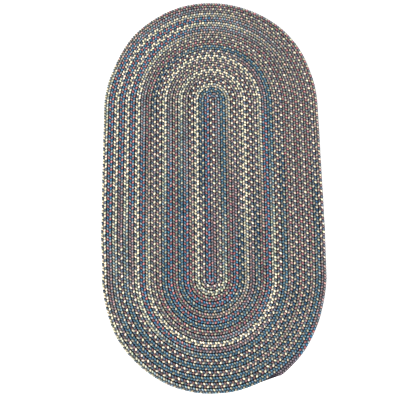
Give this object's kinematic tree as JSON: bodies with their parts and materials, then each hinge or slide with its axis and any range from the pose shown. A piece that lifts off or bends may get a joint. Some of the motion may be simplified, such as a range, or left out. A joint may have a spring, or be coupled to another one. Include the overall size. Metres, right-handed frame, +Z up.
{
  "type": "braided rug",
  "caption": "Oval braided rug, a single plaited braid wound flat around a straight centre run and laced edge to edge, with a tapered tail at one end.",
  "frame": {"origin": "middle of the flat underside, on the floor", "axes": "+Y along the rug's length towards the head end, +X across its width to the side where the tail ends, +Z up through its thickness"},
  "size_m": [0.6932, 1.2322, 0.01],
  "materials": {
    "braided_wool": "matt space-dyed wool-blend braid in cream, blues, coral, burgundy and grey"
  },
  "bodies": {
    "root": {"braided_rug": "braided_wool"}
  },
  "joints": []
}
